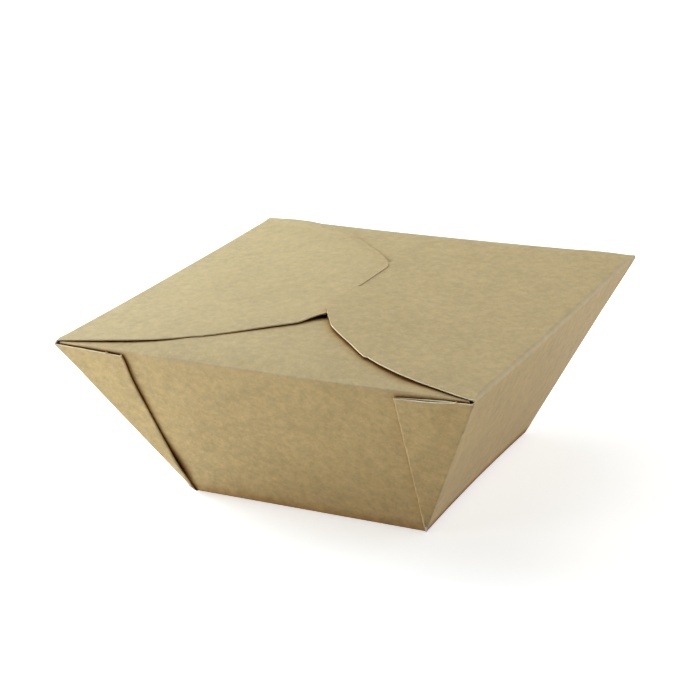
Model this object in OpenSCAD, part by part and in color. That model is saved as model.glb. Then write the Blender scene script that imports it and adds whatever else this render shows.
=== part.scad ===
// Folded board takeaway box: a square tray with flaring walls, closed by four flaps.
// Millimetres, +Z up, origin at the middle of the base on the table, front towards -Y.
// The corner webs are folded flat against the outside of the front and back walls.
// The two wide outer flaps tuck over and under each other along an S-shaped line.

/* [Box] */
// Width of the open top between the side folds
top_w = 170; // [145:1:205]
// Depth of the open top between the front and back folds
top_d = 170; // [145:1:205]
// Width of the base
base_w = 100; // [80:1:120]
// Depth of the base
base_d = 100; // [80:1:120]
// Height from the table to the top folds
height = 70; // [55:1:90]
// Thickness of the board
board = 0.45; // [0.35:0.05:0.6]

/* [Corner webs] */
// Drop of the web's cut edge below the top fold, at the web's own fold
web_drop = 3.3; // [1:0.1:6]
// Drop of the web's cut edge below the top fold, at the corner
web_corner_drop = 1; // [0.5:0.1:3]
// Room between the web's two layers, where they open upwards
web_pocket = 0.6; // [0.3:0.1:1]
// Angle in degrees by which a tight web stands off its wall
web_tight = 0.6; // [0.4:0.1:2]
// Angle in degrees by which a loose web springs off its wall
web_sprung = 1.6; // [0.4:0.1:3]

/* [Inner flaps] */
// Length of the front and back flaps, from fold to free edge
inner_len = 64; // [45:1:68]
// Gap from the end of the fold to the corner of the box
inner_inset = 2.5; // [2.5:0.1:6]
// How much narrower the free edge is, on each side
inner_taper = 14; // [12:1:25]
// Radius of the rounded corners at the free edge
inner_round = 12; // [4:1:16]
// Share of the room under the outer flaps that the inner flaps rise into
inner_lie = 0.7; // [0:0.05:0.85]

/* [Outer flaps] */
// Rise of the closed flaps from their folds to the middle of the box
flap_rise = 4.4; // [4:0.1:8]
// Clearance between an outer flap and the wall below its fold
fold_gap = 0.2; // [0.1:0.05:0.4]
// Room between two lapped flaps at the middle of the box
lap_gap = 0.75; // [0.75:0.05:1.2]
// Gap between the two edges that meet along the middle
butt_gap = 0.2; // [0.1:0.05:0.5]
// Reach of the lower half past the middle, under the other flap
tongue = 3; // [1:0.1:3]
// Distance from the middle in which a flap changes from upper to lower layer
lap_turn = 3; // [2:0.5:6]
// Cut back of a flap's corner from the corner of the box
corner_relief = 0.4; // [0.2:0.1:2]
// Length of the straight part of the upper half's edge, measured from the fold
over_straight = 33; // [20:1:45]
// Angle in degrees of that straight part to the front or back fold
over_angle = 18.4; // [12:0.1:22]
// Distance of the upper half's tip from the middle, along the fold
over_tip = 27; // [20:1:32]
// Turn in degrees of the curved part of the upper half's edge
over_turn = 44; // [20:1:60]
// Length of the straight part of the lower half's edge, measured from the fold
under_straight = 36; // [20:1:45]
// Angle in degrees of that straight part to the front or back fold
under_angle = 15.5; // [12:0.1:20]
// Distance of the lower half's tongue from the middle, along the fold
under_tip = 28.4; // [20:1:32]
// Turn in degrees of the curved part of the lower half's edge
under_turn = 51; // [20:1:60]

/* [Hidden] */

// Steps in one curved stretch of a cut edge
arc_steps = 14;
// Steps across an inner flap
inner_steps = 16;
// Steps in the twist between the upper and the lower layer
turn_steps = 6;
// Overlap by which joined pieces of board share material
bond = 0.6;
// Width of board left whole along the web's own fold, and at the corner
fold_land = 0.8;
// Share of a corner's quarter round that is kept, so that it ends in a short flat
round_end = 0.96;
// Smallest width of a flap at its very corner
blunt = 0.8;
// Reach of construction shapes past the box
beyond = 20;

half_w = top_w / 2;
half_d = top_d / 2;
flare_w = (top_w - base_w) / 2 / height;
flare_d = (top_d - base_d) / 2 / height;
lean_w = atan(flare_w);
lean_d = atan(flare_d);
slant_w = height / cos(lean_w);
slant_d = height / cos(lean_d);
// Angle of the corner edge from the slope line of the front wall, and of the side wall
splay_front = atan((top_w - base_w) / 2 / slant_d);
splay_side = atan((top_d - base_d) / 2 / slant_w);
corner_edge = slant_d / cos(splay_front);
// The web fills what the base and two walls leave of a full turn, and folds in half
web_half = 45 - (splay_front + splay_side) / 2;
web_stack = 2 * board + web_pocket;
web_fold_len = (slant_d - web_drop) / cos(splay_front - web_half);
layer_step = (board + lap_gap) / 2;

// Point at a distance and heading from another point
function from_point(p, reach, heading) = p + reach * [cos(heading), -sin(heading)];

// Points along the arc from p to q that turns by turn degrees, both ends included
function arc_points(p, q, turn) =
    let (
        chord = norm(q - p),
        heading = atan2(p[1] - q[1], q[0] - p[0]),
        radius = chord / 2 / sin(turn / 2)
    )
    [for (i = [0 : arc_steps])
        let (part = turn * i / arc_steps)
        from_point(p, 2 * radius * sin(part / 2), heading - turn / 2 + part / 2)];

// Half of a flap's cut edge, from the corner to the tip: each point is the distance
// from the flap's fold and the distance from the middle of the box along the fold
function half_edge(straight, angle, tip_reach, tip, turn) = concat(
    [[blunt, half_d - corner_relief]],
    arc_points([straight, half_d - straight * tan(angle)], [tip_reach, tip], turn)
);

over_reach = half_w - butt_gap / 2;
under_reach = half_w + tongue;
over_edge = half_edge(over_straight, over_angle, over_reach, over_tip, over_turn);
under_edge = half_edge(under_straight, under_angle, under_reach, under_tip, under_turn);
// The tongue's inner corner is a quarter round that ends where the layers change
tongue_round = under_reach - over_reach;
tongue_end = [for (i = [0 : turn_steps])
    let (a = 90 * i / turn_steps)
    [over_reach + tongue_round * cos(a), lap_turn + tongue_round * (1 - sin(a))]];
twist = [for (i = [1 : 2 * turn_steps - 1])
    [over_reach, lap_turn * (i / turn_steps - 1)]];
// The whole cut edge of the right flap, from its front corner to its back corner
flap_edge = concat(
    [for (p = over_edge) [p[0], -p[1]]],
    [[over_reach, -lap_turn]],
    twist,
    [for (i = [turn_steps : -1 : 0]) tongue_end[i]],
    [for (i = [len(under_edge) - 1 : -1 : 0]) under_edge[i]]
);

// Layer of the right flap at y: 1 is the upper layer, -1 the lower
function layer(y) = y <= -lap_turn ? 1 : y >= lap_turn ? -1 : -sin(90 * y / lap_turn);
function flap_slope(y) = (flap_rise + layer_step * layer(y)) / half_w;
lower_slope = (flap_rise - layer_step) / half_w;

// Cross section of the right flap at one point of its cut edge
function flap_section(p) =
    let (
        near = half_w,
        far = half_w - p[0],
        rise = p[0] * flap_slope(p[1])
    )
    [
        [near, p[1], height],
        [near, p[1], height + board],
        [far, p[1], height + board + rise],
        [far, p[1], height + rise]
    ];

free_half = half_w - inner_inset - inner_taper;
// Cross section of the front flap at a share of its half width, from -1 to 1
function inner_section(share) =
    let (
        fold_x = share * (half_w - inner_inset),
        free_x = share * free_half,
        into_round = max(0, abs(free_x) - free_half + inner_round) / inner_round,
        reach = inner_len - inner_round * (1 - sqrt(1 - round_end * pow(into_round, 2))),
        rise = inner_lie * lower_slope * (half_w - abs(free_x)) * reach / inner_len
    )
    [
        [fold_x, -half_d + board * flare_d, height - board],
        [free_x, -half_d + reach, height - board + rise],
        [free_x, -half_d + reach, height + rise],
        [fold_x, -half_d, height]
    ];

// A strip of board through cross sections of four points each
module ruled_board(sections) {
    last = len(sections) - 1;
    polyhedron(
        points = [for (s = sections) each s],
        faces = concat(
            [[0, 1, 2], [0, 2, 3]],
            [for (i = [0 : last - 1], k = [0 : 3], half = [0, 1])
                let (a = 4 * i + k, b = 4 * i + (k + 1) % 4)
                half == 0 ? [a, a + 4, b + 4] : [a, b + 4, b]],
            [[4 * last, 4 * last + 2, 4 * last + 1], [4 * last, 4 * last + 3, 4 * last + 2]]
        )
    );
}

// A bar along Y whose section widens upwards from low_w to high_w
module flare_along_y(low_w, high_w, low_z, high_z) {
    rotate([90, 0, 0])
        linear_extrude(top_d + 2 * beyond, center = true)
            polygon([
                [-low_w / 2, low_z], [low_w / 2, low_z], [high_w / 2, high_z], [-high_w / 2, high_z]
            ]);
}

// The same bar along X
module flare_along_x(low_d, high_d, low_z, high_z) {
    rotate([90, 0, 90])
        linear_extrude(top_w + 2 * beyond, center = true)
            polygon([
                [-low_d / 2, low_z], [low_d / 2, low_z], [high_d / 2, high_z], [-high_d / 2, high_z]
            ]);
}

// Base and four flaring walls, open at the top
module tray() {
    rim = height - fold_gap;
    over = rim + 1;
    wall_w = board / cos(lean_w);
    wall_d = board / cos(lean_d);
    difference() {
        intersection() {
            flare_along_y(base_w, base_w + 2 * flare_w * rim, 0, rim);
            flare_along_x(base_d, base_d + 2 * flare_d * rim, 0, rim);
        }
        intersection() {
            flare_along_y(
                base_w + 2 * (flare_w * board - wall_w), base_w + 2 * (flare_w * over - wall_w),
                board, over
            );
            flare_along_x(
                base_d + 2 * (flare_d * board - wall_d), base_d + 2 * (flare_d * over - wall_d),
                board, over
            );
        }
    }
}

// Places children on the front wall at its right corner edge: +Y runs up the edge,
// -X across the wall and +Z out of it
module on_corner_edge() {
    translate([base_w / 2, -base_d / 2, 0])
        rotate([90 + lean_d, 0, 0])
            rotate([0, 0, -splay_front])
                children();
}

// One corner web, folded in half and laid on the front wall to the left of the corner
module folded_web(stand_off) {
    top_y = corner_edge - web_corner_drop;
    fold_top = web_fold_len * [-sin(web_half), cos(web_half)];
    pocket_top = corner_edge + beyond;
    intersection() {
        on_corner_edge() {
            rotate([0, stand_off, 0])
                difference() {
                    linear_extrude(web_stack)
                        polygon([[0, 0], [bond, 0], [bond, top_y], [0, top_y], fold_top]);
                    translate([0, 0, board])
                        linear_extrude(web_pocket)
                            polygon([
                                [-bond, (bond + fold_land / cos(web_half)) / tan(web_half)],
                                [-bond, pocket_top],
                                [fold_land / cos(web_half) - pocket_top * tan(web_half), pocket_top]
                            ]);
                }
            translate([-bond, 0, -board / 2])
                cube([2 * bond, top_y, web_stack + board / 2]);
        }
        flare_along_y(base_w, top_w, 0, height);
    }
}

// A tight web at the front right corner and a loose one at the front left
module front_webs() {
    folded_web(web_tight);
    mirror([1, 0, 0]) folded_web(web_sprung);
}

// The front flap, folded in over the food, under the outer flaps
module front_flap() {
    ruled_board([for (i = [0 : inner_steps]) inner_section(2 * i / inner_steps - 1)]);
}

// The tray with its webs and its two inner flaps: one sheet, folded and glued
module carton() {
    color([0.76, 0.66, 0.5])
        union() {
            tray();
            for (turn = [0, 180])
                rotate([0, 0, turn]) {
                    front_webs();
                    front_flap();
                }
        }
}

module outer_flap() {
    ruled_board([for (p = flap_edge) flap_section(p)]);
}

module right_flap() {
    color([0.79, 0.69, 0.54]) outer_flap();
}

module left_flap() {
    color([0.8, 0.71, 0.56]) rotate([0, 0, 180]) outer_flap();
}

carton();
left_flap();
right_flap();
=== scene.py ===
"""Looks of the folded kraft takeaway box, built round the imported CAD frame.

The box is one sheet of board: kraft outside, white inside, with a pale cut edge. Each piece below is
built as the kraft face of the sheet, which is then given the board's thickness.
Lengths in the helpers are millimetres, with +Z up and the front towards -Y.
"""

import math

import bpy
import numpy as np
from mathutils import Matrix, Vector


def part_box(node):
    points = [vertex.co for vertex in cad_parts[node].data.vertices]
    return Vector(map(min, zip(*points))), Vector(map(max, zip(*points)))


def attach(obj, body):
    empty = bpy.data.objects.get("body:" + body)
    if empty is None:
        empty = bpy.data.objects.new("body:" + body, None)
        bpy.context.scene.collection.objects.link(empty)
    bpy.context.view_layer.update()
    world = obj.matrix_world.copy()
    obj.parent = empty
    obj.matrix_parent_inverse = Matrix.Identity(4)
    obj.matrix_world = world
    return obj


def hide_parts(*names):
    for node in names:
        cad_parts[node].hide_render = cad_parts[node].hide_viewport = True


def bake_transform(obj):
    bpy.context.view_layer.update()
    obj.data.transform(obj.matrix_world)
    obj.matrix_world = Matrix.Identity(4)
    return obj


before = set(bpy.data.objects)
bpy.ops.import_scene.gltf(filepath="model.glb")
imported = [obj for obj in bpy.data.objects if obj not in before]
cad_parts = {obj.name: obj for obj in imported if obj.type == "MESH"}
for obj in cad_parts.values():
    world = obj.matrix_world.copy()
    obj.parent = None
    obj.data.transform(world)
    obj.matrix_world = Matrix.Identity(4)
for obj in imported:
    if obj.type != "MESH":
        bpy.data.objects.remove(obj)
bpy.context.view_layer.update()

MM = 0.001

# Sizes of the real box, in mm
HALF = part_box("right_flap")[1].x / MM              # from the middle to a top fold
FOLD_Z = round(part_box("right_flap")[0].z / MM, 2)  # height of the top folds
BASE = 50.0                # half width of the base
BOARD = 0.45               # thickness of the board
BASE_ROUND = 1.1           # outer radius of the folds round the base
FOLD_ROUND = 0.8           # outer radius of the folds of the inner flaps
SIDE_TOP = 67.5            # height at which a side wall's sheet goes over to the flap's piece
CROWN = 0.35               # how much steeper than its mean an outer flap starts at its fold

# Sizes of the corner webs, in mm
WEB_TOP = 69.55            # height of a web's cut edge at the corner
WEB_FALL = 0.5446          # fall of the cut edge along the corner, for each mm away from it
WEB_START = 1.1            # from the corner to the fold at the end of the wall behind it
WEB_GAP = 0.24             # between the wall and the web's inner layer
WEB_FOLD = 0.5             # outer radius of the web's own fold
CORNER_ROUND = 0.8         # outer radius of the corner
CORNER_ROOM = 0.12         # play between the layers at the corner
CORNER_COS, CORNER_SIN = 0.2, 0.98   # of the angle between the outsides of two walls
TINY = 0.067               # share of the height below which a web gathers to its point

# Points in each stretch of a web, from the end of the wall round to the corner
TURN_POINTS, INNER_POINTS, WEB_FOLD_POINTS, OUTER_POINTS, CORNER_POINTS = 6, 12, 8, 18, 6
TAB_OFFSETS = np.array([-6, -3, -1, 1, 3, 6]) / 250   # extra points round a nick, as shares of the layer
BASE_ROUND_POINTS, LEVELS = 6, 75
FOLD_POINTS = 8            # points round a top fold
INNER_FLAP_ROWS = 45
WALL_COLUMNS, SIDE_COLUMNS = 47, 33
FLAP_COLUMNS = 36          # points from an outer flap's fold to its free edge
EDGE_COLUMNS = 12          # those of them in which a pressed edge thins
STRIP_SHARES = (0, 0.34, 0.67, 1.0)   # places of the points on the strip of wall below an outer flap

# Directions at the front wall and at its right corner
FLARE = (HALF - BASE) / FOLD_Z                             # how far a wall leans out for each mm up
LEAN = math.atan(FLARE)
TOP_TURN = math.pi / 2 + LEAN                              # turn of the board from a wall to the level
OUT = np.array([0.0, -math.cos(LEAN), -math.sin(LEAN)])    # out of the front wall
EDGE = np.array([FLARE, -FLARE, 1.0])
EDGE /= np.linalg.norm(EDGE)                               # up the front right corner
WEB_ALONG = -np.cross(EDGE, OUT) - WEB_FALL * EDGE         # from that corner along the web's cut edge
SIDE_UP = np.array([math.sin(LEAN), 0, math.cos(LEAN)])    # up the right wall
SIDE_IN = np.array([-math.cos(LEAN), 0, math.sin(LEAN)])   # into the right wall

AS_IS, MIRROR_X, MIRROR_Y = np.array([1, 1, 1]), np.array([-1, 1, 1]), np.array([1, -1, 1])
HALF_TURN = np.array([-1, -1, 1])

# Material slots of every piece
KRAFT, WHITE, CUT = 0, 1, 2
BASE_WEIGHT = np.array([0, 0, -0.5])   # pull of the base on the normals round it, in square mm
LEAST_INSIDE = 0.02                    # lowest height of the white face, so that it clears the table


# Curves that the shapes are made from
def smooth(a, b, x):
    """Goes from 0 where x is a to 1 where it is b, level at both ends. It may run backwards."""
    t = np.clip((np.asarray(x, float) - a) / (b - a), 0, 1)
    return t * t * (3 - 2 * t)


def bump(x, centre, width):
    """A bell of height 1."""
    return np.exp(-((np.asarray(x, float) - centre) / width) ** 2)


def crowded(count, pull):
    """Shares from 0 to 1 that lie closer together at both ends."""
    share = np.linspace(0, 1, count)
    return share - pull * np.sin(2 * math.pi * share) / math.pi


def ripple(x, y, seed, size):
    """Smooth unevenness from a few sine waves, about -1 to 1, with features of about that size."""
    waves, shortest, longest, phases, calm = 5, 0.8, 2.2, 6.3, 3
    rng = np.random.default_rng(seed)
    total = 0.0
    for _ in range(waves):
        a = rng.uniform(0, 2 * math.pi)
        k = 2 * math.pi / (size * rng.uniform(shortest, longest))
        total = total + np.sin(k * (np.cos(a) * x + np.sin(a) * y) + rng.uniform(0, phases))
    return total / calm


class Board:
    """A sheet of board, gathered as grids of points on its kraft face."""

    def __init__(self):
        self.points, self.thick, self.wear, self.hollow, self.faces = [], [], [], [], []
        self.count = 0

    def add(self, points, thick=BOARD, wear=0.0, hollow=1.0):
        """Adds a grid of points and returns the grid of their numbers. It also takes how pale each point is
        on a fold, from rubbing and a painted highlight, and how strongly shade is painted where other board
        stands close to it."""
        points = np.asarray(points, float)
        shape = points.shape[:-1]
        amount = int(np.prod(shape))
        ids = np.arange(self.count, self.count + amount).reshape(shape)
        self.points.append(points.reshape(-1, 3))
        for values, value in ((self.thick, thick), (self.wear, wear), (self.hollow, hollow)):
            values.append(np.broadcast_to(value, shape).reshape(-1).astype(float))
        self.count += amount
        return ids

    def skin(self, ids, flip=False):
        """Quads over a grid of numbers: columns to the right and rows upwards face the viewer."""
        a, b, c, d = ids[:-1, :-1], ids[:-1, 1:], ids[1:, 1:], ids[1:, :-1]
        quads = np.stack([a, d, c, b] if flip else [a, b, c, d], -1).reshape(-1, 4)
        self.faces += [tuple(quad) for quad in quads.tolist()]

    def normals(self, kraft):
        """The way out of the kraft face at each point, from the faces round it."""
        total = np.zeros_like(kraft)
        for face in self.faces:
            if len(face) == 4:
                a, b, c, d = face
                out = np.cross(kraft[c] - kraft[a], kraft[d] - kraft[b])
            else:
                out = BASE_WEIGHT
            for i in face:
                total[i] += out
        return total / np.maximum(np.linalg.norm(total, axis=1), 1e-12)[:, None]

    def make(self, name, materials):
        """The closed piece: the kraft face, the white face behind it and the cut edge between them."""
        kraft = np.concatenate(self.points)
        white = kraft - self.normals(kraft) * np.concatenate(self.thick)[:, None]
        white[:, 2] = np.maximum(white[:, 2], LEAST_INSIDE)
        sides = {(a, face[(i + 1) % len(face)]): True for face in self.faces for i, a in enumerate(face)}
        rim = [(a, b) for a, b in sides if (b, a) not in sides]
        n = len(kraft)
        faces = list(self.faces)
        faces += [tuple(i + n for i in reversed(face)) for face in self.faces]
        faces += [(b, a, a + n, b + n) for a, b in rim]
        mesh = bpy.data.meshes.new(name)
        mesh.from_pydata((np.concatenate([kraft, white]) * MM).tolist(), [], faces)
        slots = np.repeat([KRAFT, WHITE, CUT], [len(self.faces), len(self.faces), len(rim)])
        mesh.polygons.foreach_set("material_index", slots)
        mesh.polygons.foreach_set("use_smooth", np.ones(len(slots), bool))
        edge_of = {tuple(sorted(edge.vertices)): edge.index for edge in mesh.edges}
        for a, b in rim:
            for ends in ((a, b), (a + n, b + n)):
                mesh.edges[edge_of[tuple(sorted(ends))]].use_edge_sharp = True
        for label, parts in (("fold_wear", self.wear), ("hollow", self.hollow)):
            values = np.concatenate(parts + parts).astype(np.float32)
            mesh.attributes.new(label, "FLOAT", "POINT").data.foreach_set("value", values)
        for material in materials:
            mesh.materials.append(material)
        mesh.update()
        piece = bpy.data.objects.new(name, mesh)
        bpy.context.scene.collection.objects.link(piece)
        return piece


# The box's small faults
CORNER_RISES = [(-1, -1, 0.40), (1, -1, 0.72), (1, 1, 0.85), (-1, 1, 0.40)]   # side in x, side in y, mm up


def settle(p):
    """Moves points to where the real box has them: the base's front left corner is drawn in and its right
    edge bows in, the corners of the top stand a little high, the front left one also stands out and has
    a blunt tip, and the back right one is pushed out."""
    drawn_in, bowed, stands_out, pushed_out, blunted = 1.16, 0.95, 0.45, 0.8, 0.9   # at the most, in mm
    x, y, z = p[..., 0], p[..., 1], p[..., 2]
    half = BASE + FLARE * np.minimum(z, FOLD_Z)
    low = np.clip(1 - z / FOLD_Z, 0, 1)
    corner = drawn_in * low * (1 - x / half) / 2 * (1 - y / half) / 2
    bow = bowed * low ** 2 * (1 + x / half) / 2 * np.clip(1 - (y / half) ** 2, 0, 1)
    up = sum(rise * bump(x, sx * HALF, 42) * bump(y, sy * HALF, 34) for sx, sy, rise in CORNER_RISES)
    out = stands_out * bump(x, -HALF, 9) * bump(y, -HALF, 9) * smooth(55, 69, z) * smooth(70.6, 69.7, z)
    far = pushed_out * bump(x, HALF, 13) * bump(y, HALF, 15) * smooth(22, 64, z)
    far = far * (1 - 0.5 * smooth(69, 70.4, z))
    blunt = blunted * bump(x, -HALF - 0.4, 1.1) * bump(y, -HALF, 1.8) * smooth(68.6, 70.0, z)
    shift = [corner - bow - out + far + 0.6 * blunt, -0.2 * out, up * smooth(35, 69, z) - blunt]
    return p + np.stack(shift, -1)


def back_rise(p):
    """Lifts the top of the back wall and its fold a little, more towards the right."""
    left, more_right = 0.35, 0.30            # how far, in mm
    x, y, z = p[..., 0], p[..., 1], p[..., 2]
    up = (left + more_right * smooth(-40, 45, x)) * smooth(56, 69, z) * (1 - smooth(72, 82, np.abs(x)))
    up = up * smooth(70, 82, y)
    return p + np.stack([0 * up, 0 * up, up], -1)


def wall_sag(along, z, seed):
    """How far a wall stands out of its plane, fading towards the base and the top fold."""
    sag, size, fade = 0.12, 60, 12
    return sag * ripple(along, z, seed, size) * smooth(0, fade, z) * smooth(FOLD_Z, FOLD_Z - fade, z)


# Carton: corner webs
def level_points(top):
    """Half width and height of the outer surface at each level, from the base up to that height."""
    turn = math.pi / 2 - LEAN
    flat = BASE - BASE_ROUND * math.tan(turn / 2)
    arc = [(flat + BASE_ROUND * math.sin(a), BASE_ROUND * (1 - math.cos(a)))
           for a in np.linspace(0, turn, BASE_ROUND_POINTS)]
    arc_top = arc[-1][1]
    heights = arc_top + (top - arc_top) * crowded(LEVELS + 1, 0.10)[1:]
    return np.array(arc + [(BASE + FLARE * z, z) for z in heights])


CORNER_LEVELS = level_points(WEB_TOP)

# Each web: whether it stands loose off its wall, its width at the top, how far its cut edge is raised at the
# corner and at its fold, where it has closer columns, its nicks (place from the corner, width and depth,
# which is below 0 for a tab) and how it is turned from the front right corner
WEBS = {
    "front_right": (False, 26.8, (0.25, 0.2), 6.0, [(6.0, 0.33, -0.70), (25.6, 0.8, 0.15)], AS_IS),
    "front_left": (True, 26.4, (-0.2, 1.35), 20.8, [(20.8, 0.38, -0.80)], MIRROR_X),
    "back_left": (False, 26.4, (0.1, 0.3), 15.2, [], HALF_TURN),
    "back_right": (True, 26.1, (0.2, 0.6), 15.2, [], MIRROR_Y),
}


def web_stance(at, loose):
    """How a web stands at a share of the height: the gap behind its inner layer, how far its fold is
    lifted off the wall, and how far its pocket bulges open."""
    if loose:
        return WEB_GAP, 0.12 + 0.10 * smooth(0.4, 0.9, at) + 1.00 * bump(at, 0.22, 0.13), 0.0
    lift = 0.05 + 0.25 * bump(at, 0.08, 0.08) + 0.10 * smooth(0.7, 1.0, at)
    return WEB_GAP + 0.20 * smooth(0.5, 1.0, at), lift, 0.55 * smooth(0.45, 1.0, at) ** 1.5


def web_width(at, loose, width):
    """Distance from the corner to the outside of the web's own fold, at a share of the height.
    A loose web has a slight waist, and a tight one a fold that isn't quite straight."""
    if loose:
        return width * at - 1.5 * smooth(0.10, 0.45, at) * smooth(1.0, 0.81, at)
    return width * at + 0.12 * math.sin(at * 61.0) * math.sin(at * 23.0 + 1.0)


def web_profile(share, loose, width, tab):
    """The folded web at one level: distance from the corner and distance out of the wall, then how pale each
    point is from rubbing and a painted highlight.
    It runs from the end of the wall, round behind the corner, out to the web's own fold and back."""
    at = max(share, TINY)
    gap, lift, bulge = web_stance(at, loose)
    end = web_width(at, loose, width) - WEB_FOLD
    rub_and_highlight_strength = 0.9 if loose else 2.2
    lift_power, bulge_end = 1.6, 0.8

    profile = [(WEB_START - gap / 2 * math.cos(a), gap / 2 * (1 + math.sin(a)))
               for a in np.linspace(-math.pi / 2, math.pi / 2, TURN_POINTS)]
    inner = [(WEB_START + (end - WEB_START) * t, gap + lift * t ** lift_power)
             for t in np.linspace(0, 1, INNER_POINTS + 1)[1:]]
    profile += inner
    wear = [0.0] * len(profile)

    (near_s, near_o), (last_s, last_o) = inner[-2:]
    tilt = math.atan2(last_o - near_o, last_s - near_s)
    # Round the web's own fold it is pale from rubbing and a painted highlight
    for a in np.linspace(-math.pi / 2 + tilt, math.pi / 2 + tilt, WEB_FOLD_POINTS + 1)[1:]:
        profile.append((end + WEB_FOLD * math.cos(a), last_o + WEB_FOLD + WEB_FOLD * math.sin(a)))
        wear.append(min(1.5, rub_and_highlight_strength * math.cos(a - tilt) ** 2))

    fold_s, fold_o = profile[-1]
    corner_o = gap + 2 * BOARD + CORNER_ROOM
    centre_o = corner_o - CORNER_ROUND
    centre_s = (centre_o * CORNER_COS + CORNER_ROUND) / CORNER_SIN
    tab_at = (width - WEB_FOLD - tab) / (width - WEB_FOLD - centre_s)
    for t in np.sort(np.concatenate([np.linspace(0, 1, OUTER_POINTS + 1)[1:], tab_at + TAB_OFFSETS])):
        on_inner = gap + lift * (1 - t) ** lift_power + 2 * WEB_FOLD
        level = on_inner + (fold_o - on_inner) * (1 - t) ** 4
        closing = smooth(0, 1, t)
        o = level * (1 - closing) + (corner_o + (level - gap - 2 * WEB_FOLD)) * closing
        if t < bulge_end:
            o += bulge * math.sin(math.pi * (t / bulge_end) ** 1.25) ** 1.1
        profile.append((fold_s + (centre_s - fold_s) * t, o))
        wear.append(0.0)

    side = math.acos(math.sin(LEAN) ** 2)
    for a in np.linspace(0, side, CORNER_POINTS + 1)[1:]:
        profile.append((centre_s - CORNER_ROUND * math.sin(a), centre_o + CORNER_ROUND * math.cos(a)))
        wear.append(0.15 * math.sin(math.pi * a / side))
    return np.array(profile), np.array(wear)


def inner_drop(s, loose):
    """How much lower the cut edge of a web's inner layer lies than its outer layer's, at distance s from
    the corner."""
    drop = 0.8 if loose else 0.15 + 0.9 * (1 - smooth(5.7, 8.2, s))
    behind_corner = 1.5
    return drop * smooth(1, 4, s) + behind_corner * smooth(4.5, 1.5, s)


def web_points(loose, width, rises, tab, nicks):
    """Front right corner web as a grid: a row for each level."""
    rows, thick, rub_and_highlight_rows = [], [], []
    for half, z in CORNER_LEVELS:
        share = z / WEB_TOP
        profile, wear = web_profile(share, loose, width, tab)
        fit = max(share / TINY, 0.02) ** 0.6 if share < TINY else 1.0
        s, o = (profile * fit).T
        inside = np.arange(len(s)) < TURN_POINTS + INNER_POINTS
        nick = sum(depth * bump(s, place, wide) for place, wide, depth in nicks)
        dip = (nick + inner_drop(s, loose) * inside) * smooth(0.965, 1.0, share)
        up = (rises[0] + (rises[1] - rises[0]) * s / width) * smooth(0.9, 2.5, s)
        p = np.array([half, -half, z]) + s[:, None] * WEB_ALONG + o[:, None] * OUT
        p += (up * smooth(0.80, 1.0, share) - dip)[:, None] * EDGE
        p[:, 2] = np.maximum(p[:, 2], 0.0)
        rows.append(p)
        thick.append(np.full(len(p), BOARD * min(1.0, fit * 1.1)))
        rub_and_highlight_rows.append(wear)
    return np.array(rows), np.array(thick), np.array(rub_and_highlight_rows)


def add_webs(board):
    """Adds the four corner webs. Gives each one's numbers and points, with columns to the right."""
    corners = {}
    for name, (loose, width, rises, tab, nicks, flip) in WEBS.items():
        points, thick, wear = web_points(loose, width, rises, tab, nicks)
        points = points * flip
        # Shade is painted on the webs where other board stands close, but not round the corner
        hollow = np.ones(wear.shape)
        hollow[:, -CORNER_POINTS - 1:] = 0.0
        if flip.prod() < 0:
            points, thick, wear, hollow = (grid[:, ::-1] for grid in (points, thick, wear, hollow))
        corners[name] = board.add(points, thick, wear, hollow), points
    return corners


# Carton: walls and inner flaps
def add_flap_wall(board, left_web, right_web, shares, side, seed):
    """Adds the front wall (side 1) or the back wall (side -1), up to the fold of its inner flap."""
    tangent = FOLD_ROUND * math.tan(TOP_TURN / 2)
    levels = level_points(FOLD_Z - tangent * math.cos(LEAN))
    start, end = left_web[:, -1, 0], right_web[:, 0, 0]
    x = (start + end)[:, None] / 2 + (end - start)[:, None] / 2 * shares[None, :]
    y = np.repeat(-side * levels[:, :1], len(shares), 1)
    z = np.repeat(levels[:, 1:], len(shares), 1)
    wall = np.stack([x, y - side * wall_sag(x, z, seed), z], -1)
    # Shade is painted where board or the floor stands close, at half strength near the base
    hollow = 0.5 + 0.5 * smooth(2, 14, z)
    return board.add(back_rise(wall) if side < 0 else wall, hollow=hollow)


def add_side_wall(board, near_web, far_web, side, seed):
    """Adds the right wall (side 1) or the left wall (side -1), up to the strip of its outer flap."""
    first = 0.0042                           # distance of the end columns from the webs, as a share
    levels = level_points(SIDE_TOP)
    share = np.concatenate([[first], crowded(SIDE_COLUMNS + 2, 0.12)[1:-1], [1 - first]])
    near, far = near_web[:, -1], far_web[:, 0]
    y = near[:, 1:2] + (far[:, 1:2] - near[:, 1:2]) * share[None, :]
    x = np.repeat(side * levels[:, :1], len(share), 1)
    z = np.repeat(levels[:, 1:], len(share), 1)
    sag = wall_sag(y, z, seed) * (smooth(0, 0.15, share) * smooth(1, 0.85, share))[None, :]
    # Shade is painted where board or the floor stands close, only on the lower part of the wall
    return board.add(np.stack([x + side * sag, y, z], -1), hollow=1 - smooth(50, 62, z))


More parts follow.
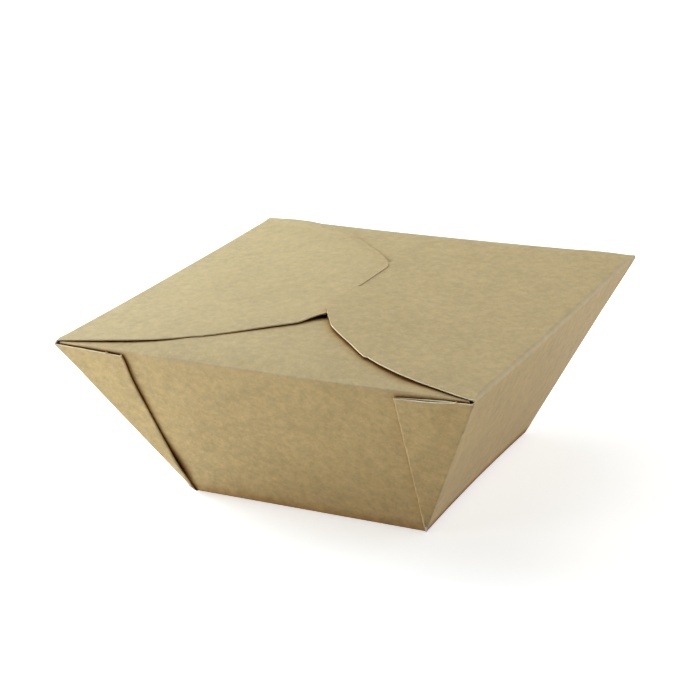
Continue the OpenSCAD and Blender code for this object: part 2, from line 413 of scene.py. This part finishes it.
def inner_rise(x, v):
    """Rise of an inner flap above its fold, at distance v from the fold: it lies against the outer flaps
    beside the corners and falls short of them in the middle, and its free end droops."""
    slope, full_room, crest, bend, touch = 0.0447, 3.8, 3.02, 0.43, 0.87
    room = slope * (HALF - np.abs(x)) * (1 + 0.8 * CROWN * np.abs(x) / HALF)
    rise = crest * (1 - np.exp(-bend * room)) / (1 - math.exp(-bend * full_room))
    rise = np.minimum(rise, touch * room)
    start = 1 - np.exp(-(np.maximum(v, 0) / 6.0) ** 1.2)
    # a swell left of the middle, behind the fold, and a dip to the right of it
    swell = 0.33 * bump(x, -34, 17) * bump(v, 13 + 0.9 * (x + 35), 9) * smooth(0, 4, v)
    dip = 0.40 * bump(x, 50, 17) * bump(v, 9, 8) * smooth(0, 5, v)
    return rise * start * (1 - 0.09 * smooth(42, 50, v) - 0.17 * smooth(48, 62, v)) + swell - dip


def add_inner_flap(board, first_row, shares, turned, seed):
    """Adds an inner flap to the top of a wall: the fold, then the flap in towards the middle."""
    fold_half, free_half, length, corner = 82.5, 68.5, 64.0, 12.0
    tangent = FOLD_ROUND * math.tan(TOP_TURN / 2)
    start = -HALF + tangent
    fold_x, free_x = shares * fold_half, shares * free_half
    sink = 0.35 * smooth(66, 82, np.abs(fold_x))     # the fold lies lower at its ends
    rows, wear = [], []
    for a in np.linspace(0, TOP_TURN, FOLD_POINTS + 1)[1:]:
        # The fold is pale from rubbing and a painted highlight
        wear.append(np.full(len(shares), 0.22 * math.sin(math.pi * a / TOP_TURN)))
        y = start - FOLD_ROUND * math.sin(TOP_TURN - a)
        z = FOLD_Z - FOLD_ROUND * (1 - math.cos(TOP_TURN - a))
        rows.append(np.stack([fold_x, np.full(len(shares), y), z - sink * a / TOP_TURN], -1))
    into = np.maximum(0, np.abs(free_x) - free_half + corner) / corner
    reach = length - tangent - corner * (1 - np.sqrt(1 - 0.96 * into ** 2))
    for t in np.linspace(0, 1, INNER_FLAP_ROWS + 1)[1:] ** 1.25:
        v = reach * t
        x = fold_x + (free_x - fold_x) * t
        z = FOLD_Z - sink * smooth(24, 0, v) + inner_rise(x, v)
        z = z + 0.05 * ripple(x, v, seed, 45) * smooth(2, 12, v)
        wear.append(np.zeros(len(shares)))
        rows.append(np.stack([x, start + v, z], -1))
    points = np.array(rows)
    if turned:
        points = back_rise(points * HALF_TURN)
    ids = board.add(points, BOARD, np.array(wear))
    board.skin(np.vstack([first_row[None, :], ids]))


def make_carton(materials):
    """Base, walls, corner webs and inner flaps, as one sheet."""
    board = Board()
    corners = add_webs(board)
    ids = {name: numbers for name, (numbers, _) in corners.items()}
    webs = {name: points for name, (_, points) in corners.items()}
    spread = np.linspace(-1, 1, WALL_COLUMNS)
    spread = spread + 0.05 * np.sin(math.pi * spread)
    on_wall = spread * 0.99
    front = add_flap_wall(board, webs["front_left"], webs["front_right"], on_wall, 1, 12)
    back = add_flap_wall(board, webs["back_right"], webs["back_left"], on_wall, -1, 10)
    right = add_side_wall(board, webs["front_right"], webs["back_right"], 1, 22)
    left = add_side_wall(board, webs["back_left"], webs["front_left"], -1, 20)
    ring = np.hstack([
        front, ids["front_right"], right, ids["back_right"],
        back, ids["back_left"], left, ids["front_left"], front[:, :1],
    ])
    board.skin(ring)
    board.faces.append(tuple(reversed(ring[0, :-1].tolist())))
    add_inner_flap(board, front[-1], spread, False, 4)
    add_inner_flap(board, back[-1], spread, True, 5)
    board.points = [settle(p) for p in board.points]
    return board.make("carton_board", materials)


# Outer flaps, each with the top strip of its wall
# Cut edges: distance from the fold, and distance from the middle of the box along the fold
RIGHT_OVER = [
    (0.8, 84.9), (6.2, 83.7), (14.6, 81.4), (23.0, 79.1), (32.0, 75.9), (42.0, 71.0), (47.5, 67.6),
    (48.9, 66.6), (52.3, 64.2), (54.8, 62.2), (60.3, 57.3), (67.4, 51.1), (73.1, 45.6), (75.1, 43.2),
    (76.8, 40.6), (80.2, 35.4), (83.2, 30.4), (84.7, 27.6), (85.1, 26.0), (85.1, 0.0),
]
LEFT_OVER = [
    (0.8, 85.0), (6.2, 84.0), (14.6, 82.2), (23.1, 80.3), (32.4, 77.5), (41.7, 72.7), (49.9, 67.3),
    (57.2, 59.9), (65.6, 51.6), (72.6, 44.9), (79.2, 37.6), (81.9, 34.2), (84.2, 30.4), (85.3, 27.2),
    (85.5, 25.5), (85.5, 17.0), (85.4, 8.0), (85.5, 0.0),
]
TONGUE = 88.0              # how far the under half reaches from its fold
UNDER = [
    (0.8, 84.6), (2.8, 83.9), (17.4, 80.8), (28.8, 77.9), (37.6, 75.1), (43.8, 72.3), (49.4, 68.9),
    (55.0, 65.8), (60.3, 61.7), (65.6, 57.3), (70.7, 52.6), (75.8, 47.8), (79.1, 44.8), (80.7, 43.4),
    (81.3, 42.5), (81.9, 41.5), (83.2, 38.3), (84.6, 35.6), (86.0, 33.4), (87.4, 31.6), (TONGUE, 30.2),
    (TONGUE, 6.0),
]
FLAP_END = 84.8            # from the middle to the ends of a flap's fold
FLAP_RISE = 4.45           # rise of a flap's top from its fold to the middle of the box
CROSSING = 1.2             # half length of the free edge in which over turns to under
TONGUE_ROUND = 4.0         # radius by which the tongue starts beside the crossing
STRIP_TOP = 0.30           # how far above the fold's height the wall's and the flap's surfaces meet

# Rows along the fold: start, end and step, closer where the cut edge bends or has nicks
ROW_STRETCHES = [
    (-84.8, -60, 0.2), (-60, -46, 0.5), (-46, -26, 0.25), (-26, -6, 0.5), (-6, 6, 0.15),
    (6, 26, 0.5), (26, 46, 0.25), (46, 60, 0.5), (60, 84.81, 0.2),
]

# What one flap has of its own, drawn in the place of the right one with its over half at -Y:
# fold: outer radius of the fold, and tip: what is added to it at the end of the under half
# laps: how far the over half lies up and the under half down, at the middle
# press: how far the over half's free edge is pressed down
# nicks: place, width and reach, below 0 for a cut, and steps: place, reach and the length of their slope back
# lifts: centre and size from the fold and along it, and height
RIGHT_FLAP = dict(
    seed=31, over_edge=RIGHT_OVER, fold=1.5, tip=0.0, laps=(0.58, 0.24), press=0.0,
    nicks=[(-81.9, 0.12, -0.5)], steps=[(-66.6, 1.6, 4.0)],
    lifts=[((19, 81), (16, 12), 0.45), ((14, -81), (14, 9), -0.12)],
)
LEFT_FLAP = dict(
    seed=32, over_edge=LEFT_OVER, fold=0.9, tip=0.7, laps=(0.24, 0.5), press=0.21,
    nicks=[(67.0, 0.40, 1.1), (64.4, 0.30, 0.7)], steps=[],
    lifts=[((19, -82), (13, 12), 0.50), ((79, 44), (9, 6), -0.22), ((88, 34), (6, 5), 0.22)],
)


def rounded_outline(edge, round_off):
    """Places along the fold, and how far a cut edge reaches there, with its corners rounded off over about
    that many quarters of a millimetre."""
    half_window = 20
    fine = np.linspace(0, FLAP_END, 3400)
    along = np.array(sorted(edge, key=lambda point: point[1]))
    r = np.interp(fine, along[:, 1], along[:, 0])
    weights = np.exp(-(np.linspace(-2, 2, 2 * half_window + 1) / round_off) ** 2)
    past_end = r[-1] - (r[-1 - half_window] - r[-1]) * -np.linspace(0, 1, half_window)
    padded = np.concatenate([np.full(half_window, r[0]), r, past_end])
    return fine, np.convolve(padded, weights / weights.sum(), "valid")[: len(fine)]


def edge_reach(y, over_edge, nicks, steps):
    """How far the flap reaches from its fold at each y. The half at -Y laps over, the other half under."""
    a = np.abs(y)
    over, under = rounded_outline(over_edge, 0.5), rounded_outline(UNDER, 0.35)
    r = np.where(y < 0, np.interp(a, *over), np.interp(a, *under))
    start = HALF - 0.2
    round_in = np.clip((a - CROSSING) / TONGUE_ROUND, 0, 1)
    tongue = start + (TONGUE - start) * np.sqrt(1 - (1 - round_in) ** 2)
    r = np.where((y > 0) & (a < CROSSING + TONGUE_ROUND), np.where(a < CROSSING, start, tongue), r)
    r = np.where(y <= 0, start + (r - start) * smooth(CROSSING - 0.4, CROSSING + 0.4, a), r)
    for place, width, depth in nicks:
        r = r + depth * bump(y, place, width)
    for place, depth, run in steps:
        past = y - place
        r = r + depth * (smooth(-0.15, 0.15, past) * np.exp(-np.maximum(past, 0) / run))
    return r


def flap_slope(y, lap, d):
    """Rise per mm at distance d from the fold, which goes from the over to the under half in a fan that
    narrows to the crossing."""
    fan = 0.30
    way = CROSSING + fan * np.maximum(HALF - d, 0)
    return (FLAP_RISE - lap * np.sin(math.pi / 2 * np.clip(y / way, -1, 1))) / HALF


def flap_points(seed, over_edge, fold, tip, laps, press, nicks, steps, lifts):
    """One outer flap in the place of the right one: a row for each y, from the wall over the fold to the
    free edge."""
    y_all = np.concatenate([np.arange(*stretch) for stretch in ROW_STRETCHES])
    reach_all = edge_reach(y_all, over_edge, nicks, steps)
    columns, wear = [], []
    for y, reach in zip(y_all, reach_all):
        lap = laps[0] if y < 0 else laps[1]
        turn = TOP_TURN - math.atan(float(flap_slope(y, lap, 0.0)) * (1 + CROWN))
        radius = fold * (1 - 0.55 * smooth(76, FLAP_END, abs(y))) + tip * smooth(82, FLAP_END, y)
        radius = min(radius, 0.45 * reach)
        foot = SIDE_TOP + 0.60 * smooth(84.2, FLAP_END, abs(y))
        low = np.array([HALF + FLARE * (foot - FOLD_Z), y, foot])
        meeting = np.array([HALF + FLARE * STRIP_TOP, y, FOLD_Z + STRIP_TOP])
        bend_start = meeting - SIDE_UP * (radius * math.tan(turn / 2))
        points = [low + (bend_start - low) * share for share in STRIP_SHARES]
        centre = bend_start + SIDE_IN * radius
        angles = np.linspace(0, turn, FOLD_POINTS + 1)[1:]
        points += [centre - SIDE_IN * radius * math.cos(a) + SIDE_UP * radius * math.sin(a) for a in angles]
        # The fold is pale from rubbing and a painted highlight
        on_fold = [0.7 * math.sin(math.pi * a / turn) for a in angles]
        wear.append([0, 0, 0, 0.05] + on_fold + [0] * FLAP_COLUMNS)

        d0 = HALF - points[-1][0]
        d = d0 + (max(reach, d0 + 0.05) - d0) * crowded(FLAP_COLUMNS + 1, 0.13)[1:]
        z = points[-1][2] + flap_slope(y, lap, d) * (d - d0) * (1 + CROWN * (1 - d / HALF))
        z = z + 0.09 * ripple(d, y, seed, 55) * smooth(2, 16, d) * smooth(-1, 10, reach - d)
        pressed = press * (1 + 0.55 * smooth(28, 40, -y)) * smooth(0, -CROSSING, y)
        z = z - pressed * smooth(6.0, 0.5, reach - d)
        for (centre_d, centre_y), (size_d, size_y), up in lifts:
            z = z + up * bump(d, centre_d, size_d) * bump(y, centre_y, size_y) * smooth(0, 9, d)
        points += [np.array([HALF - far, y, height]) for far, height in zip(d, z)]
        columns.append(points)
    return np.array(columns), np.array(wear)


def make_flap(name, points, wear, edge_thick, under_painted_shade, materials):
    """The board of a flap, pressed to that thickness along the free edge of its over half. Its painted
    crevice shade starts past the fold, and the number after the edge thickness is that shade's strength on
    the under half."""
    board = Board()
    over = len(points) // 2
    thick = np.full(points.shape[:2], BOARD)
    thick[:over, -EDGE_COLUMNS:] -= (BOARD - edge_thick) * np.linspace(0, 1, EDGE_COLUMNS)
    past_fold = np.arange(points.shape[1]) - len(STRIP_SHARES) - FOLD_POINTS
    # Painted shade starts a little past the fold, and the under half takes the given strength of it
    hollow = np.ones(points.shape[:2]) * np.clip(past_fold / 4, 0, 1)
    hollow[over:] *= under_painted_shade
    board.skin(board.add(points, thick, wear, hollow), flip=True)
    return board.make(name, materials)


# Shader nodes
NOISE_TURN = (0.7, 0.45, 0.9)            # turns every noise, so that its grid lies along no face of the box


def nodes_of(material):
    material.use_nodes = True
    tree = material.node_tree
    tree.nodes.clear()
    out = tree.nodes.new("ShaderNodeOutputMaterial")
    shader = tree.nodes.new("ShaderNodeBsdfPrincipled")
    tree.links.new(shader.outputs[0], out.inputs[0])
    return tree, shader


def noise(tree, where, size, detail=2.0, rough=0.5, stretch=(1, 1, 1)):
    """Noise with features of about that size in mm, drawn out along an axis by stretch."""
    scale = tree.nodes.new("ShaderNodeMapping")
    scale.inputs["Scale"].default_value = [1 / (MM * size * s) for s in stretch]
    scale.inputs["Rotation"].default_value = NOISE_TURN
    tree.links.new(where, scale.inputs["Vector"])
    texture = tree.nodes.new("ShaderNodeTexNoise")
    texture.inputs["Scale"].default_value = 1.0
    texture.inputs["Detail"].default_value = detail
    texture.inputs["Roughness"].default_value = rough
    tree.links.new(scale.outputs[0], texture.inputs["Vector"])
    return texture.outputs["Fac"]


def math_node(tree, kind, a, b, clamp=False):
    node = tree.nodes.new("ShaderNodeMath")
    node.operation = kind
    node.use_clamp = clamp
    for socket, value in zip(node.inputs, (a, b)):
        if isinstance(value, (int, float)):
            socket.default_value = value
        else:
            tree.links.new(value, socket)
    return node.outputs[0]


def remap(tree, value, low, high, to_low, to_high):
    """The value, stretched so that low to high becomes to_low to to_high."""
    node = tree.nodes.new("ShaderNodeMapRange")
    for i, number in enumerate((low, high, to_low, to_high)):
        node.inputs[i + 1].default_value = number
    tree.links.new(value, node.inputs[0])
    return node.outputs[0]


def spread_noise(tree, value, to_low, to_high):
    """A noise, stretched so that nearly all of it lies between the two numbers."""
    return remap(tree, value, 0.3, 0.7, to_low, to_high)


def mix(tree, factor, a, b):
    """Colour a where the factor is 0, and b where it is 1."""
    node = tree.nodes.new("ShaderNodeMix")
    node.data_type = "RGBA"
    for socket, value in ((node.inputs[0], factor), (node.inputs[6], a), (node.inputs[7], b)):
        if isinstance(value, tuple):
            socket.default_value = (*value, 1)
        else:
            tree.links.new(value, socket)
    return node.outputs[2]


def attribute_value(tree, name):
    node = tree.nodes.new("ShaderNodeAttribute")
    node.attribute_name = name
    return node.outputs["Fac"]


def hidden_part(tree, reach, samples):
    """How shut in a point is by board up to that many mm away, from 0 in the open to 1."""
    crevice = tree.nodes.new("ShaderNodeAmbientOcclusion")
    crevice.samples = samples
    crevice.inputs["Distance"].default_value = reach * MM
    return math_node(tree, "SUBTRACT", 1.0, crevice.outputs["AO"])


# Materials of the three faces of the board
# The colours of the kraft: two tints at random, and the pale of folds from rubbing together with a painted
# highlight
KRAFT_YELLOW, KRAFT_GREY, RUBBED_AND_HIGHLIT = (0.554, 0.420, 0.214), (0.543, 0.420, 0.222), (0.84, 0.77, 0.61)
KRAFT_PAINTED_SHADE, KRAFT_DEEP_PAINTED_SHADE = (0.51, 0.30, 0.108), (0.18, 0.052, 0.012)      # painted shade: beside a crevice, and deeper in it
WHITE_LOW, WHITE_HIGH = (0.80, 0.79, 0.75), (0.86, 0.85, 0.82)
# The white face's colours: two at random, then painted shade beside a crevice and deep in it
WHITE_PAINTED_SHADE, WHITE_DEEP_PAINTED_SHADE = (0.46, 0.515, 0.575), (0.05, 0.025, 0.012)
# The cut edge's colours: two at random, then painted shade deep in a crevice
CUT_LOW, CUT_HIGH, CUT_DEEP_PAINTED_SHADE = (0.72, 0.61, 0.42), (0.86, 0.78, 0.60), (0.10, 0.045, 0.02)


def kraft_board():
    """Mottled kraft, pale on its folds from rubbing and a painted highlight, with painted shade, brown to
    near black, where other board lies close.
    """
    m = bpy.data.materials.new("kraft_face")
    tree, shader = nodes_of(m)
    where = tree.nodes.new("ShaderNodeTexCoord").outputs["Object"]
    cloud = noise(tree, where, 16, 3, 0.55)
    blob = noise(tree, where, 3.2, 4, 0.7)
    fine = noise(tree, where, 0.9, 2, 0.6)
    tint = noise(tree, where, 6, 2, 0.5)
    base = mix(tree, spread_noise(tree, tint, 0, 1), KRAFT_YELLOW, KRAFT_GREY)
    # Pale folds from rubbing and a painted highlight, in patches
    patchy = spread_noise(tree, blob, 0.78, 0.50)
    rub_and_highlight_strength = math_node(tree, "MULTIPLY", attribute_value(tree, "fold_wear"), patchy)
    base = mix(tree, rub_and_highlight_strength, base, RUBBED_AND_HIGHLIT)

    # Painted shade: brown beside a crevice and near black in it, from how shut in each point is by nearby
    # board or the floor
    hidden = math_node(tree, "MULTIPLY", hidden_part(tree, 5.2, 6), attribute_value(tree, "hollow"))
    base = mix(tree, remap(tree, hidden, 0.42, 0.02, 0, 1), KRAFT_PAINTED_SHADE, base)
    base = mix(tree, remap(tree, hidden, 0.76, 0.38, 0, 1), KRAFT_DEEP_PAINTED_SHADE, base)

    light = spread_noise(tree, cloud, -0.045, 0.045)
    light = math_node(tree, "ADD", light, spread_noise(tree, blob, -0.15, 0.15))
    light = math_node(tree, "ADD", light, spread_noise(tree, fine, -0.055, 0.055))
    axes = tree.nodes.new("ShaderNodeSeparateXYZ")
    tree.links.new(where, axes.inputs[0])
    on_walls = remap(tree, axes.outputs[2], 0.062, 0.071, 1.22, 0.90)    # stronger there than on top
    light = math_node(tree, "MULTIPLY", light, on_walls)
    shade = tree.nodes.new("ShaderNodeVectorMath")
    shade.operation = "SCALE"
    tree.links.new(base, shade.inputs[0])
    tree.links.new(math_node(tree, "ADD", light, 1.0), shade.inputs["Scale"])
    tree.links.new(shade.outputs[0], shader.inputs["Base Color"])

    tree.links.new(spread_noise(tree, blob, 0.58, 0.70), shader.inputs["Roughness"])
    # Painted shade also takes the sheen out of a crevice
    tree.links.new(remap(tree, hidden, 0.40, 0.06, 0.0, 0.45), shader.inputs["Specular IOR Level"])
    grain = tree.nodes.new("ShaderNodeBump")
    grain.inputs["Strength"].default_value = 0.35
    grain.inputs["Distance"].default_value = 0.06 * MM
    height = math_node(tree, "ADD", fine, math_node(tree, "MULTIPLY", blob, 0.8))
    tree.links.new(height, grain.inputs["Height"])
    tree.links.new(grain.outputs[0], shader.inputs["Normal"])
    return m


def white_board():
    """The lined inside, with painted shade that turns it grey-blue and then brown in a crevice, where its
    sheen is taken out too.
    """
    m = bpy.data.materials.new("white_face")
    tree, shader = nodes_of(m)
    where = tree.nodes.new("ShaderNodeTexCoord").outputs["Object"]
    cloud = noise(tree, where, 9, 3, 0.55)
    fine = noise(tree, where, 0.7, 2, 0.6, (1.8, 1, 1))
    hidden = hidden_part(tree, 3.0, 4)
    base = mix(tree, spread_noise(tree, cloud, 0, 1), WHITE_LOW, WHITE_HIGH)
    base = mix(tree, remap(tree, hidden, 0.90, 0.40, 0, 1), WHITE_PAINTED_SHADE, base)
    base = mix(tree, remap(tree, hidden, 0.88, 0.62, 0, 1), WHITE_DEEP_PAINTED_SHADE, base)
    tree.links.new(base, shader.inputs["Base Color"])
    tree.links.new(spread_noise(tree, fine, 0.5, 0.62), shader.inputs["Roughness"])
    tree.links.new(remap(tree, hidden, 0.60, 0.15, 0.0, 0.4), shader.inputs["Specular IOR Level"])
    return m


def cut_board():
    """The pale cut edge, with painted shade that turns it brown in a crevice and takes out its sheen."""
    m = bpy.data.materials.new("cut_edge")
    tree, shader = nodes_of(m)
    where = tree.nodes.new("ShaderNodeTexCoord").outputs["Object"]
    fine = noise(tree, where, 0.5, 3, 0.65)
    hidden = hidden_part(tree, 3.0, 4)
    base = mix(tree, spread_noise(tree, fine, 0, 1), CUT_LOW, CUT_HIGH)
    base = mix(tree, remap(tree, hidden, 0.85, 0.60, 0, 1), CUT_DEEP_PAINTED_SHADE, base)
    tree.links.new(base, shader.inputs["Base Color"])
    shader.inputs["Roughness"].default_value = 0.9
    tree.links.new(remap(tree, hidden, 0.60, 0.15, 0.0, 0.2), shader.inputs["Specular IOR Level"])
    return m


# Floor, light and camera, in metres
FLOOR_HALF, FLOOR_Z = 6, -0.0002
FLOOR_SEEN, FLOOR_GLOW = (0.76, 0.80, 0.86), 0.64       # to the camera
BOUNCE_LEFT, BOUNCE_RIGHT = (0.94, 0.905, 0.83), (0.645, 0.54, 0.38)   # to the light that it throws back
BOUNCE_SPAN = (-0.09, 0.12)              # between these places in x one goes over to the other
WORLD_LEVEL = 0.01

LAMPS = [  # name, place, target, size, watts, colour
    ("top", (-0.45, 0.35, 1.2), (0, 0, 0.05), (1.3, 1.3), 8.5, (1, 0.96, 0.82)),
    ("left_high", (-1.0, 0, 0.65), (0, 0, 0.05), (0.6, 0.6), 6.3, (0.81, 0.93, 1)),
    ("left", (-0.95, 0, 0.35), (-0.03, 0, 0.05), (0.5, 0.5), 5.7, (0.78, 0.91, 1)),
    ("left_near", (-0.38, -0.42, 0.10), (-0.06, -0.06, 0.05), (0.22, 0.16), 1.20, (1, 0.95, 0.84)),
    ("left_close", (-0.30, -0.05, 0.22), (-0.06, 0, 0.07), (0.2, 0.15), 0.24, (0.74, 0.90, 1)),
    ("left_back", (-0.75, 0.75, 0.40), (-0.07, 0, 0.07), (0.4, 0.3), 0.95, (0.76, 0.91, 1)),
    ("right_close", (0.30, 0.05, 0.25), (0.04, 0, 0.07), (0.2, 0.15), 0.12, (1, 0.97, 0.93)),
    ("right", (0.95, 0.25, 0.20), (0.05, 0, 0.04), (0.7, 0.35), 3.2, (1, 1, 0.95)),
    ("back", (0.1, 1.1, 0.6), (0, 0, 0.05), (1.0, 0.6), 1.95, (1, 0.9, 0.83)),
]

# Camera fitted to the box's corners in the photo: its place, and its angles in degrees
CAMERA_PLACE = (0.31321, -0.62829, 0.31011)
AZIMUTH, ELEVATION, ROLL = 26.819, 20.457, -2.127
LENS, SENSOR = 97.279, 36                # in mm


def make_floor():
    """A floor that the camera sees as white with the box's shadow, and that throws back warmer light."""
    mesh = bpy.data.meshes.new("floor")
    corners = [(sx * FLOOR_HALF, sy * FLOOR_HALF, FLOOR_Z) for sx, sy in ((-1, -1), (1, -1), (1, 1), (-1, 1))]
    mesh.from_pydata(corners, [], [(0, 1, 2, 3)])
    floor = bpy.data.objects.new("floor", mesh)
    bpy.context.scene.collection.objects.link(floor)
    m = bpy.data.materials.new("pale_floor")
    tree, shader = nodes_of(m)
    shader.inputs["Roughness"].default_value = 0.9
    shader.inputs["Specular IOR Level"].default_value = 0.1
    path = tree.nodes.new("ShaderNodeLightPath")
    seen = math_node(tree, "ADD", path.outputs["Is Camera Ray"], path.outputs["Is Glossy Ray"])
    seen = math_node(tree, "ADD", seen, path.outputs["Is Transmission Ray"], clamp=True)
    axes = tree.nodes.new("ShaderNodeSeparateXYZ")
    tree.links.new(tree.nodes.new("ShaderNodeTexCoord").outputs["Object"], axes.inputs[0])
    bounce = mix(tree, remap(tree, axes.outputs[0], *BOUNCE_SPAN, 0, 1), BOUNCE_LEFT, BOUNCE_RIGHT)
    tree.links.new(mix(tree, seen, bounce, FLOOR_SEEN), shader.inputs["Base Color"])
    tree.links.new(math_node(tree, "MULTIPLY", seen, FLOOR_GLOW), shader.inputs["Emission Strength"])
    shader.inputs["Emission Color"].default_value = (1, 1, 1, 1)
    mesh.materials.append(m)


def make_world():
    """A world that the camera sees as white, and that hardly lights the box."""
    world = bpy.data.worlds.new("studio")
    bpy.context.scene.world = world
    world.use_nodes = True
    tree = world.node_tree
    tree.nodes.clear()
    out = tree.nodes.new("ShaderNodeOutputWorld")
    lit = tree.nodes.new("ShaderNodeBackground")
    lit.inputs[0].default_value = (1.0, 0.985, 0.96, 1)
    lit.inputs[1].default_value = WORLD_LEVEL
    seen = tree.nodes.new("ShaderNodeBackground")
    seen.inputs[0].default_value = (1, 1, 1, 1)
    seen.inputs[1].default_value = 1.0
    path = tree.nodes.new("ShaderNodeLightPath")
    rays = path.outputs["Is Camera Ray"], path.outputs["Is Transmission Ray"]
    blend = tree.nodes.new("ShaderNodeMixShader")
    tree.links.new(math_node(tree, "ADD", *rays, clamp=True), blend.inputs[0])
    tree.links.new(lit.outputs[0], blend.inputs[1])
    tree.links.new(seen.outputs[0], blend.inputs[2])
    tree.links.new(blend.outputs[0], out.inputs[0])


def make_lamp(name, place, target, size, power, colour):
    data = bpy.data.lights.new(name, "AREA")
    data.shape = "RECTANGLE"
    data.size, data.size_y = size
    data.energy = power
    data.color = colour
    lamp = bpy.data.objects.new(name, data)
    lamp.location = place
    lamp.rotation_euler = (Vector(target) - Vector(place)).to_track_quat("-Z", "Y").to_euler()
    bpy.context.scene.collection.objects.link(lamp)


def make_camera():
    azimuth, elevation, roll = (math.radians(a) for a in (AZIMUTH, ELEVATION, ROLL))
    right = Vector((math.cos(azimuth), math.sin(azimuth), 0))
    level_out = math.cos(elevation)
    back = Vector((math.sin(azimuth) * level_out, -math.cos(azimuth) * level_out, math.sin(elevation)))
    up = back.cross(right)
    x = right * math.cos(roll) + up * math.sin(roll)
    y = up * math.cos(roll) - right * math.sin(roll)
    data = bpy.data.cameras.new("camera")
    data.lens = LENS
    data.sensor_width = SENSOR
    data.clip_start, data.clip_end = 0.05, 50
    cam = bpy.data.objects.new("camera", data)
    columns = (*x, 0), (*y, 0), (*back, 0), (*CAMERA_PLACE, 1)
    cam.matrix_world = Matrix(columns).transposed()
    bpy.context.scene.collection.objects.link(cam)
    bpy.context.scene.camera = cam


# The pieces; the carton goes on the tray's body, and the flaps stand in for their parts from model.glb
MATERIALS = [kraft_board(), white_board(), cut_board()]

carton = make_carton(MATERIALS)
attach(carton, "tray")
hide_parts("carton")

right_points, right_wear = flap_points(**RIGHT_FLAP)
right = make_flap("right_flap_board", settle(right_points), right_wear, BOARD, 0.12, MATERIALS)
left_points, left_wear = flap_points(**LEFT_FLAP)
left = make_flap("left_flap_board", settle(left_points * HALF_TURN), left_wear, 0.22, 1.0, MATERIALS)

for flap, node, sign in ((right, "right_flap", 1), (left, "left_flap", -1)):
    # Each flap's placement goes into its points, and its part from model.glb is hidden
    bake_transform(flap)
    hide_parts(node)

make_floor()
make_world()
for lamp in LAMPS:
    make_lamp(*lamp)
make_camera()
bpy.context.scene.view_settings.view_transform = "Standard"
